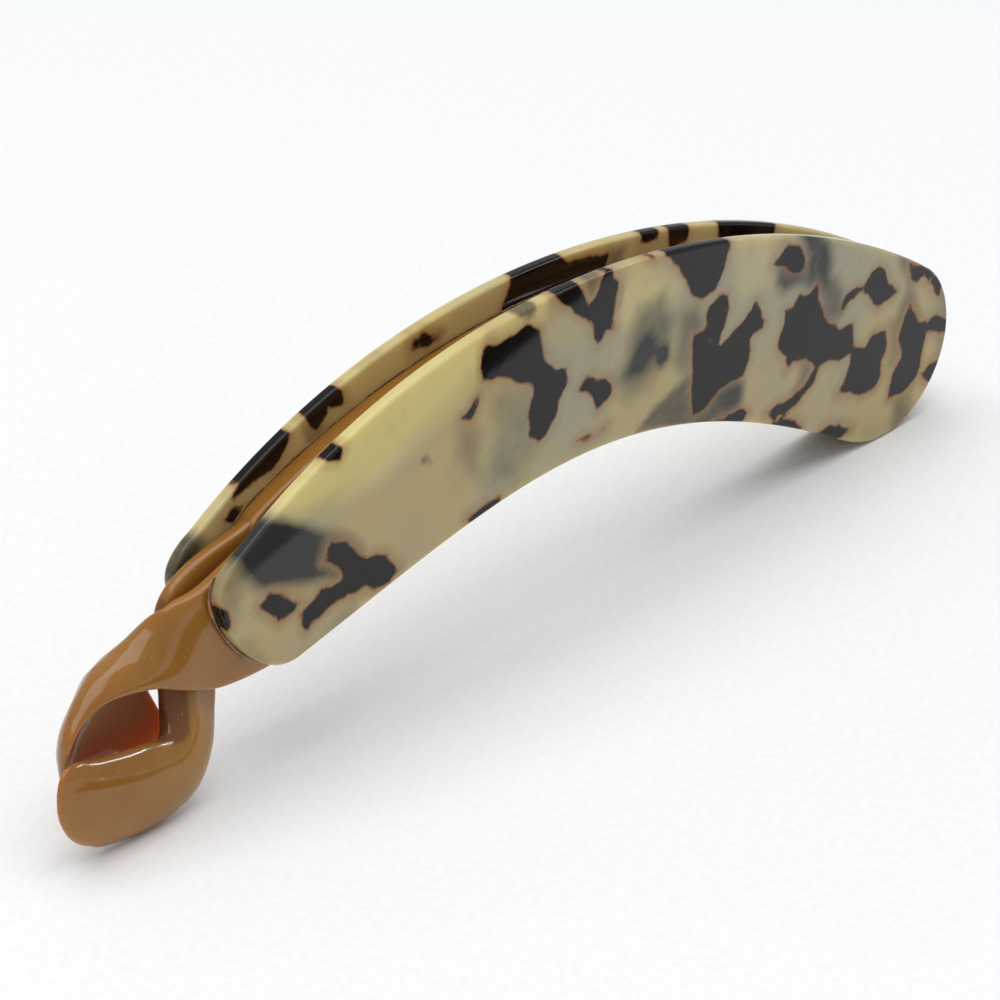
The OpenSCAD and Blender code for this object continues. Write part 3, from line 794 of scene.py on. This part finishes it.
def tail(name, rows, body, shade, tip_length):
    """A twisted clasp tail, swept through its rows and closed by a dome."""
    rows = [[np.array(v, float) for v in row] for row in rows]
    angle = 2 * math.pi * np.arange(TAIL_SIDES) / TAIL_SIDES
    points, painted_shade_and_glow = [], []

    def ring(u, size, forward):
        # Boxy where it leaves the rail, then ever rounder
        boxy = 1 - soft_step(u / 0.3)
        end_power = 0.6 - 0.2 * boxy
        face_power = 0.5 - 0.22 * boxy
        s = (1 - size * np.sign(np.cos(angle)) * np.abs(np.cos(angle)) ** end_power) / 2
        lift = np.sign(np.round(np.sin(angle), 9)) * np.abs(np.sin(angle)) ** face_power
        half = station(rows, u)[4]
        half = half[0] + (half[1] - half[0]) * s
        skin = tail_skin(rows, u, s) + (half * lift * size)[:, None] * tail_normal(rows, u, s)
        points.append(skin + forward)
        # The painted shade and glow of this ring
        painted_shade_and_glow.append(shade(u, s, lift))

    for r in range(TAIL_RINGS):
        ring(r / (TAIL_RINGS - 1), 1, np.zeros(3))
    middle = np.array([0.5])
    tip = tail_skin(rows, 1, middle)[0] - tail_skin(rows, 0.97, middle)[0]
    tip /= np.linalg.norm(tip)
    for k in range(1, DOME_RINGS + 1):
        a = math.pi / 2 * k / (DOME_RINGS + 0.3)
        ring(1.0, math.cos(a) ** 1.1, tip * tip_length * math.sin(a))
    piece = make_piece(name + "_sweep", np.concatenate(points),
                       ring_faces(TAIL_RINGS + DOME_RINGS, TAIL_SIDES), body,
                       PLASTIC, [name])
    fix_normals(piece)
    add_number(piece, "painted_shade_and_glow", np.concatenate(painted_shade_and_glow))
    return piece


# -------------------------------------------------------------------- combs
# Teeth of both arms together, near and far in turn
TOOTH_COUNT = 26
TOOTH_RINGS = 22
TOOTH_SIDES = 20
# Share of the comb's edge left bare at each end
COMB_MARGIN = 0.03
TOOTH_LENGTH = 8.5
TOOTH_WIDTH = 1.8
# Down a tooth: fraction of its length, its inner and outer edge across the
# clip on the far arm, and its width as a share of the full width
TOOTH_SHAPE = [
    (-0.10, 0.55, 2.35, 1.0),
    (0.02, 0.35, 2.40, 1.0),
    (0.15, 0.10, 2.40, 0.95),
    (0.33, -0.75, 2.38, 0.92),
    (0.50, -1.05, 2.25, 0.90),
    (0.68, -1.05, 1.75, 0.86),
    (0.84, -0.85, 1.15, 0.78),
    (0.95, -0.55, 0.75, 0.62),
    (1.00, -0.25, 0.45, 0.34),
]


def tooth_rings(side, spot, slope):
    """Rings of one tooth, rounded like a worn peg."""
    shape = np.array(TOOTH_SHAPE)
    row = np.linspace(0, 1, len(shape))
    levels = np.interp(np.linspace(0, 1, TOOTH_RINGS), row, shape[:, 0])
    down = np.array([-slope[1], slope[0]]) / np.linalg.norm(slope)
    down *= -1 if down[1] > 0 else 1
    along = slope / np.linalg.norm(slope)
    angle = 2 * math.pi * np.arange(TOOTH_SIDES) / TOOTH_SIDES
    a = np.sign(np.cos(angle)) * np.abs(np.cos(angle)) ** 0.7
    b = np.sign(np.sin(angle)) * np.abs(np.sin(angle)) ** 0.7
    rings = []
    for level in levels:
        inner, outer, width = (np.interp(level, shape[:, 0], column) for column in shape.T[1:])
        middle = spot + down * level * TOOTH_LENGTH
        across = side * ((inner + outer) / 2 + a * (outer - inner) / 2)
        aside = b[:, None] * along * TOOTH_WIDTH / 2 * width
        rings.append(np.stack([middle[0] + aside[:, 0], across, middle[1] + aside[:, 1]], 1))
    return np.concatenate(rings), ring_faces(len(rings), len(angle))


def comb(name, side, first, body):
    """Every other tooth along the rail's lower edge."""
    edge = np.array(COMB_EDGE, float)
    parts = []
    for i in range(first, TOOTH_COUNT, 2):
        t = COMB_MARGIN + (1 - 2 * COMB_MARGIN) * i / (TOOTH_COUNT - 1)
        parts.append(tooth_rings(side, cubic(edge, t), cubic_slope(edge, t)))
    verts, faces = join_grids(parts)
    piece = make_piece(name + "_pegs", verts, faces, body, PLASTIC, [name])
    fix_normals(piece)
    add_number(piece, "painted_shade_and_glow", np.zeros(len(verts)))
    return piece


# -------------------------------------------------------------------- hinge
HINGE = frame["joints"][0]
HINGE_AT = 1000 * np.array(HINGE["pos_m"])
HINGE_AXIS = np.array(HINGE["axis"]) / np.linalg.norm(HINGE["axis"])
BARREL_R = 2.3
BORE_R = 0.85
PIN_R = 0.8
MIDDLE_KNUCKLE = 4.6
OUTER_KNUCKLE = 3.2
KNUCKLE_GAP = 0.15
KNUCKLE_ROUND = 0.3
PIN_DOME = 0.3
# How far from the pin's axis a lug ends in its rail and starts in its knuckle
LUG_REACH = 5.0
LUG_FROM = 1.2


def hinge_space(points):
    """Points beside the hinge pin, turned into the clip's own frame."""
    across = np.array([0.0, 1.0, 0.0])
    back = np.cross(across, HINGE_AXIS)
    p = np.asarray(points)
    return HINGE_AT + p[:, :1] * back + p[:, 1:2] * across + p[:, 2:] * HINGE_AXIS


def circles(profile, sides):
    """A circle of points about the pin for each radius and height."""
    angle = 2 * math.pi * np.arange(sides) / sides
    x, y = np.cos(angle), np.sin(angle)
    return np.concatenate([np.stack([r * x, r * y, np.full(sides, h)], 1) for r, h in profile])


def turned(profile, sides=56):
    """A ring turned about the pin from a closed profile of radius and height."""
    verts = circles(profile, sides)
    faces = ring_faces(len(profile), sides, closed_ends=False)
    last = len(verts) - sides
    for k in range(sides):
        after = (k + 1) % sides
        faces.append((last + k, last + after, after, k))
    return verts, faces


def knuckle_ring(low, high):
    """One knuckle of the barrel, its outer edges rounded."""
    edge = quarter(KNUCKLE_ROUND, 4)
    profile = [(BORE_R, low), (BORE_R, high)]
    profile += [(BARREL_R - inset, high - rise) for inset, rise in edge]
    profile += [(BARREL_R - inset, low + rise) for inset, rise in edge[::-1]]
    return turned(profile)


def lug(side, low, high):
    """The web that ties a knuckle to its rail, its four corners rounded."""
    y_low, y_high = sorted((side * ARM_GAP, side * ARM_OUTER))
    corner = quarter(KNUCKLE_ROUND, 3)
    section = []
    for y, h, y_sign, h_sign, order in ((y_high, high, 1, 1, 1), (y_high, low, 1, -1, -1),
                                        (y_low, low, -1, -1, 1), (y_low, high, -1, 1, -1)):
        for across, down in corner[::order]:
            section.append((y - y_sign * across, h - h_sign * down))
    rings = [np.array([(x, y, h) for y, h in section]) for x in (-LUG_REACH, -LUG_FROM)]
    return np.concatenate(rings), ring_faces(2, len(section))


def knuckles(name, side, spans, body):
    """An arm's knuckles, each over a span of heights along the pin."""
    parts = []
    for low, high in spans:
        parts.append(knuckle_ring(low, high))
        parts.append(lug(side, low, high))
    verts, faces = join_grids(parts)
    piece = make_piece(name, hinge_space(verts), faces, body, PLASTIC)
    fix_normals(piece)
    add_number(piece, "painted_shade_and_glow", np.zeros(len(verts)))
    return piece


def pin(body):
    """The hinge wire, its ends slightly domed."""
    half = MIDDLE_KNUCKLE / 2 + KNUCKLE_GAP + OUTER_KNUCKLE
    dome_steps = 5
    sides = 40
    profile = []
    for k in range(dome_steps + 1):
        r = max(PIN_R * math.sin(math.pi / 2 * k / dome_steps), 0.02)
        profile.append((r, -half + PIN_DOME * (r / PIN_R) ** 4))
    profile += [(r, -h) for r, h in profile[::-1]]
    piece = make_piece("hinge_pin_wire", hinge_space(circles(profile, sides)),
                       ring_faces(len(profile), sides), body, STEEL, ["hinge_pin"])
    fix_normals(piece)
    return piece


# --------------------------------------------------------------- the pieces
plate("near_plate", -1, "near_arm", NEAR_INK, NEAR_HAZE, NEAR_WARM)
plate("far_plate", 1, "far_arm", FAR_INK, FAR_HAZE, [])
for label, sign in (("near", -1), ("far", 1)):
    arm = label + "_arm"
    rail(label + "_rail", sign, arm)
    film(label + "_adhesive", sign, arm)
glue_bead("near_glue_bead", -1, "near_arm")
comb("near_teeth", -1, 0, "near_arm")
comb("far_teeth", 1, 1, "far_arm")
tail("near_tail", NEAR_TAIL, "near_arm", bowl_shade, 0.9)
tail("far_tail", FAR_TAIL, "far_arm", fold_shade, 5.1)
middle = MIDDLE_KNUCKLE / 2
inner = middle + KNUCKLE_GAP
outer = inner + OUTER_KNUCKLE
knuckles("near_knuckle", -1, [(-middle, middle)], "near_arm")
knuckles("far_knuckles", 1, [(inner, outer), (-outer, -inner)], "far_arm")
pin("far_arm")


# ----------------------------------------------------------- floor and light
def flat_sheet(name, corners, material):
    """A flat part of the stage, with its corners in millimetres."""
    mesh = bpy.data.meshes.new(name)
    mesh.from_pydata([tuple(np.array(c) * MM) for c in corners], [], [tuple(range(len(corners)))])
    mesh.materials.append(material)
    sheet = bpy.data.objects.new(name, mesh)
    bpy.context.scene.collection.objects.link(sheet)
    return sheet


FLOOR_HALF = 4000
floor_corners = [(x * FLOOR_HALF, y * FLOOR_HALF, 0) for x, y in ((-1, -1), (1, -1), (1, 1), (-1, 1))]
flat_sheet("floor", floor_corners, paper())


def reflection_card_black():
    """The matt black of the card that only reflections see: a painted dark reflection."""
    n = Nodes("reflection_card_black")
    nap = n.noise(n.place(), 300)
    return n.finish(Base_Color=n.mix(nap, REFLECTION_BLACK, REFLECTION_BLACK_MOTTLE), Roughness=1.0, Specular_IOR_Level=0.0)


def painted_reflection_card(name, corners):
    """A black card that only reflections see, a painted dark reflection, which gives the gloss its dark
    band.
    """
    card = flat_sheet(name, corners, reflection_card_black())
    for ray in ("camera", "diffuse", "transmission", "volume_scatter", "shadow"):
        setattr(card, "visible_" + ray, False)


def card_edge(x):
    """Y of the front card's straight edge."""
    return -45.5 - 0.27 * x


def card_point(x, beyond):
    """A point just over the floor, so far beyond the front card's edge."""
    return (x, card_edge(x) - beyond, 1)


# The front card is a painted dark reflection lying on the floor before the clip
# Round the card: X, and how far beyond its straight edge
card_shape = [(-72, 0), (-67, 12), (-46, 15), (-38, 48), (140, 48), (140, 0)]
painted_reflection_card("front_reflection_card", [card_point(x, beyond) for x, beyond in card_shape])


def softbox(name, place, target, width, height, watts):
    """A rectangular light, placed and aimed in millimetres."""
    data = bpy.data.lights.new(name, "AREA")
    data.shape = "RECTANGLE"
    data.size = width * MM
    data.size_y = height * MM
    data.energy = watts
    lamp = bpy.data.objects.new(name, data)
    lamp.location = Vector(place) * MM
    aim = Vector(target) * MM - lamp.location
    lamp.rotation_euler = aim.to_track_quat("-Z", "Y").to_euler()
    bpy.context.scene.collection.objects.link(lamp)
    return lamp


# A wide overhead light for the soft shadow, and a strip whose reflection is the
# highlight on the far tail's disc
softbox("key", (-180, 40, 1500), (0, 0, 10), 1700, 1700, 19.5)
strip = softbox("strip", (220, -150, 180), (-72.9, -3.2, 11.1), 110, 14, 0.11)
strip.visible_diffuse = False

SKY = (0.97, 0.985, 1, 1)
SKY_STRENGTH = 0.48
world = bpy.data.worlds.new("studio")
world.use_nodes = True
sky = world.node_tree.nodes["Background"]
sky.inputs["Color"].default_value = SKY
sky.inputs["Strength"].default_value = SKY_STRENGTH
bpy.context.scene.world = world

# ------------------------------------------------------------------- camera
CAMERA_AT = (-288.0, -246.8, 202.7)
CAMERA_TO = (-6.86, 0.0, 16.91)
FOCAL_LENGTH = 122.6
SENSOR_WIDTH = 36
lens = bpy.data.cameras.new("camera")
lens.lens = FOCAL_LENGTH
lens.sensor_width = SENSOR_WIDTH
lens.clip_start = 0.01
camera = bpy.data.objects.new("camera", lens)
camera.location = Vector(CAMERA_AT) * MM
aim = (Vector(CAMERA_TO) - Vector(CAMERA_AT)) * MM
camera.rotation_euler = aim.to_track_quat("-Z", "Y").to_euler()
bpy.context.scene.collection.objects.link(camera)
bpy.context.scene.camera = camera
bpy.context.scene.view_settings.view_transform = "Standard"
